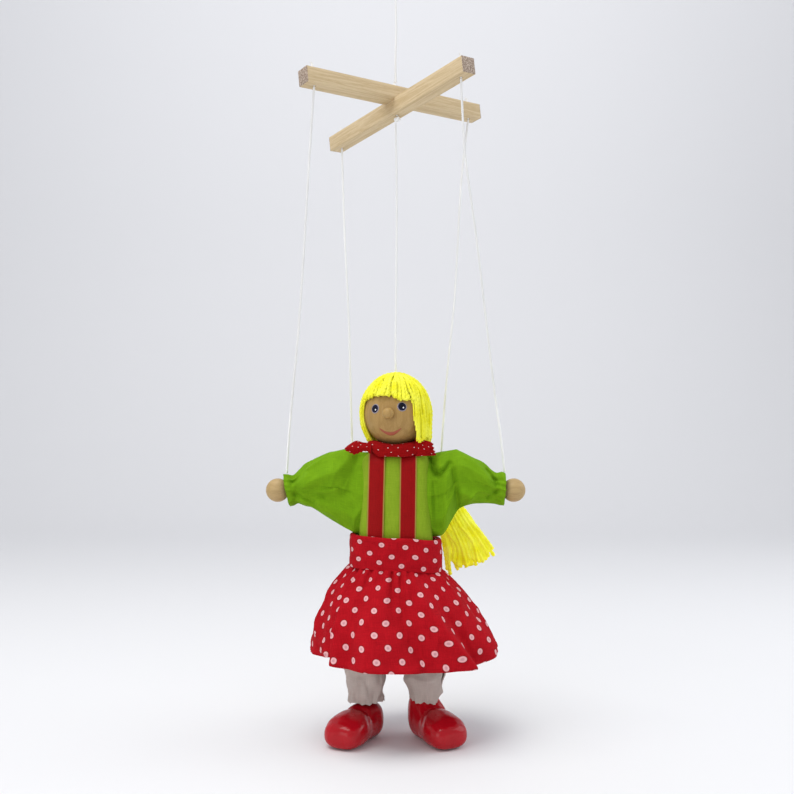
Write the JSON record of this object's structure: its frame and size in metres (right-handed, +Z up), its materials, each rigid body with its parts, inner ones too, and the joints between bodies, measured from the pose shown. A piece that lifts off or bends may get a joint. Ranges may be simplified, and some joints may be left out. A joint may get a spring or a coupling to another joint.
{
  "type": "string marionette doll",
  "caption": "Dressed wooden doll marionette hung from a tilting wooden cross control by a centre cord, two hand strings and two leg strings, with turning head, hinged arms, hips and knees",
  "frame": {"origin": "inner top of the hanging loop, where a hook or finger holds it; the soles are 418.5 mm below", "axes": "+Z up along the hanging string, the doll faces -Y, and its left hand is at +X"},
  "size_m": [0.138, 0.0967, 0.4197],
  "materials": {
    "cotton_string": "white twisted cotton string",
    "bar_wood": "plain sanded softwood with end grain",
    "doll_wood": "pale turned wood, clear satin lacquer",
    "green_cotton": "bright green plain weave cotton",
    "red_cotton": "red plain weave cotton strap",
    "dotted_cotton": "red cotton with pale pink dots",
    "scarf_cotton": "red cotton with tiny white dots, pinked ends",
    "white_cotton": "off-white thin cotton",
    "yellow_yarn": "bright yellow twisted yarn",
    "red_paint": "glossy red paint on turned wood",
    "eye_paint": "glossy dark blue paint"
  },
  "bodies": {
    "torso": {"hanging_loop": "cotton_string", "loop_knot": "cotton_string", "hanging_string": "cotton_string", "head_string": "cotton_string", "neck_cord": "cotton_string", "neck_knot": "cotton_string", "torso_block": "doll_wood", "neck_bead": "doll_wood", "shirt": "green_cotton", "right_strap": "red_cotton", "left_strap": "red_cotton", "scarf": "scarf_cotton", "waistband": "dotted_cotton", "skirt": "dotted_cotton", "right_shoulder_pin": "doll_wood", "left_shoulder_pin": "doll_wood", "right_hip_pin": "doll_wood", "left_hip_pin": "doll_wood"},
    "centre_knot": {"centre_knot": "cotton_string"},
    "control": {"lower_bar": "bar_wood", "upper_bar": "bar_wood", "top_knot": "cotton_string", "right_hand_knot": "cotton_string", "left_hand_knot": "cotton_string", "right_leg_knot": "cotton_string", "left_leg_knot": "cotton_string"},
    "head": {"head_ball": "doll_wood", "nose": "doll_wood", "right_eye": "eye_paint", "left_eye": "eye_paint", "hair_cap": "yellow_yarn", "hair_tie": "yellow_yarn", "ponytail": "yellow_yarn"},
    "right_arm": {"right_arm_dowel": "doll_wood", "right_hand": "doll_wood", "right_sleeve": "green_cotton"},
    "right_thigh": {"right_thigh": "doll_wood", "right_knee_pin": "doll_wood", "right_trouser_top": "white_cotton"},
    "right_shin": {"right_shin": "doll_wood", "right_trouser_leg": "white_cotton"},
    "right_shoe": {"right_shoe": "red_paint"},
    "left_arm": {"left_arm_dowel": "doll_wood", "left_hand": "doll_wood", "left_sleeve": "green_cotton"},
    "left_thigh": {"left_thigh": "doll_wood", "left_knee_pin": "doll_wood", "left_trouser_top": "white_cotton"},
    "left_shin": {"left_shin": "doll_wood", "left_trouser_leg": "white_cotton"},
    "left_shoe": {"left_shoe": "red_paint"},
    "right_hand_string_top": {"right_hand_string_top": "cotton_string"},
    "right_hand_string": {"right_hand_string": "cotton_string"},
    "left_leg_string_top": {"left_leg_string_top": "cotton_string"},
    "left_leg_string": {"left_leg_string": "cotton_string"},
    "left_hand_string_top": {"left_hand_string_top": "cotton_string"},
    "left_hand_string": {"left_hand_string": "cotton_string"},
    "right_leg_string_top": {"right_leg_string_top": "cotton_string"},
    "right_leg_string": {"right_leg_string": "cotton_string"}
  },
  "joints": [
    {"name": "tilt_right_hand", "type": "hinge", "parent": "torso", "child": "centre_knot", "pos_m": [0, 0, -0.0815], "axis": [0.6076, -0.7861, 0.1137], "range_deg": [0, 20]},
    {"name": "tilt_left_hand", "type": "hinge", "parent": "centre_knot", "child": "control", "pos_m": [0, 0, -0.0815], "axis": [0.7885, 0.6142, 0.0328], "range_deg": [0, 20]},
    {"name": "head_turn", "type": "hinge", "parent": "torso", "child": "head", "pos_m": [0, 0, -0.2475], "axis": [0, 0, 1], "range_deg": [-30, 30], "deforming": ["ponytail"]},
    {"name": "right_shoulder", "type": "hinge", "parent": "torso", "child": "right_arm", "pos_m": [-0.013, 0, -0.2765], "axis": [0, -1, 0], "range_deg": [0, 23.08], "deforming": ["right_sleeve"]},
    {"name": "right_hip", "type": "hinge", "parent": "torso", "child": "right_thigh", "pos_m": [-0.016, 0, -0.3385], "axis": [-1, 0, 0], "range_deg": [0, 28.48], "deforming": ["right_trouser_top"]},
    {"name": "right_knee", "type": "hinge", "parent": "right_thigh", "child": "right_shin", "pos_m": [-0.016, 0, -0.3705], "axis": [1, 0, 0], "range_deg": [0, 72.72], "deforming": ["right_trouser_leg"]},
    {"name": "right_shoe_turn", "type": "hinge", "parent": "right_shin", "child": "right_shoe", "pos_m": [-0.016, 0, -0.4005], "axis": [0, 0, 1], "range_deg": [-25, 25]},
    {"name": "left_shoulder", "type": "hinge", "parent": "torso", "child": "left_arm", "pos_m": [0.013, 0, -0.2765], "axis": [0, 1, 0], "range_deg": [0, 23.62], "deforming": ["left_sleeve"]},
    {"name": "left_hip", "type": "hinge", "parent": "torso", "child": "left_thigh", "pos_m": [0.016, 0, -0.3385], "axis": [-1, 0, 0], "range_deg": [0, 29.74], "deforming": ["left_trouser_top"]},
    {"name": "left_knee", "type": "hinge", "parent": "left_thigh", "child": "left_shin", "pos_m": [0.016, 0, -0.3705], "axis": [1, 0, 0], "range_deg": [0, 71.94], "deforming": ["left_trouser_leg"]},
    {"name": "left_shoe_turn", "type": "hinge", "parent": "left_shin", "child": "left_shoe", "pos_m": [0.016, 0, -0.4005], "axis": [0, 0, 1], "range_deg": [-25, 25]},
    {"name": "right_hand_string_sway", "type": "hinge", "parent": "control", "child": "right_hand_string_top", "pos_m": [-0.04078, -0.03186, -0.08384], "axis": [-0.7885, -0.6142, -0.0328], "range_deg": [0, 20]},
    {"name": "right_hand_string_swing", "type": "hinge", "parent": "right_hand_string_top", "child": "right_hand_string", "pos_m": [-0.04105, -0.03136, -0.08689], "axis": [-0.6166, 0.7792, -0.1128], "range_deg": [0, 20.09]},
    {"name": "left_hand_string_sway", "type": "hinge", "parent": "control", "child": "left_hand_string_top", "pos_m": [0.03217, -0.04123, -0.08291], "axis": [-0.8236, -0.5664, -0.0296], "range_deg": [0, 20.23]},
    {"name": "left_hand_string_swing", "type": "hinge", "parent": "left_hand_string_top", "child": "left_hand_string", "pos_m": [0.03257, -0.0406, -0.08592], "axis": [-0.6114, 0.7853, -0.0973], "range_deg": [0, 21.88]},
    {"name": "right_leg_string_sway", "type": "hinge", "parent": "control", "child": "right_leg_string_top", "pos_m": [-0.03077, 0.04021, -0.09469], "axis": [-0.7834, -0.6208, -0.0313], "range_deg": [0, 20.2]},
    {"name": "right_leg_string_swing", "type": "hinge", "parent": "right_leg_string_top", "child": "right_leg_string", "pos_m": [-0.03062, 0.03989, -0.09777], "axis": [-0.6076, 0.7861, -0.1137], "range_deg": [0, 20]},
    {"name": "left_leg_string_sway", "type": "hinge", "parent": "control", "child": "left_leg_string_top", "pos_m": [0.04091, 0.03177, -0.08045], "axis": [-0.7885, -0.6142, -0.0328], "range_deg": [0, 20]},
    {"name": "left_leg_string_swing", "type": "hinge", "parent": "left_leg_string_top", "child": "left_leg_string", "pos_m": [0.04067, 0.03155, -0.08353], "axis": [-0.6252, 0.772, -0.1144], "range_deg": [0, 19.44]}
  ],
  "couplings": [
    {"joint": "right_shoulder", "follows": "tilt_right_hand", "ratio": 1.154},
    {"joint": "right_hip", "follows": "tilt_left_hand", "ratio": 1.424},
    {"joint": "right_knee", "follows": "tilt_left_hand", "ratio": 3.636},
    {"joint": "left_shoulder", "follows": "tilt_left_hand", "ratio": 1.181},
    {"joint": "left_hip", "follows": "tilt_right_hand", "ratio": 1.487},
    {"joint": "left_knee", "follows": "tilt_right_hand", "ratio": 3.597},
    {"joint": "right_hand_string_sway", "follows": "tilt_left_hand", "ratio": 1},
    {"joint": "right_hand_string_swing", "follows": "tilt_right_hand", "ratio": 1.0043},
    {"joint": "left_hand_string_sway", "follows": "tilt_left_hand", "ratio": 1.0114},
    {"joint": "left_hand_string_swing", "follows": "tilt_right_hand", "ratio": 1.0941},
    {"joint": "right_leg_string_sway", "follows": "tilt_left_hand", "ratio": 1.0099},
    {"joint": "right_leg_string_swing", "follows": "tilt_right_hand", "ratio": 1},
    {"joint": "left_leg_string_sway", "follows": "tilt_left_hand", "ratio": 1},
    {"joint": "left_leg_string_swing", "follows": "tilt_right_hand", "ratio": 0.972}
  ]
}
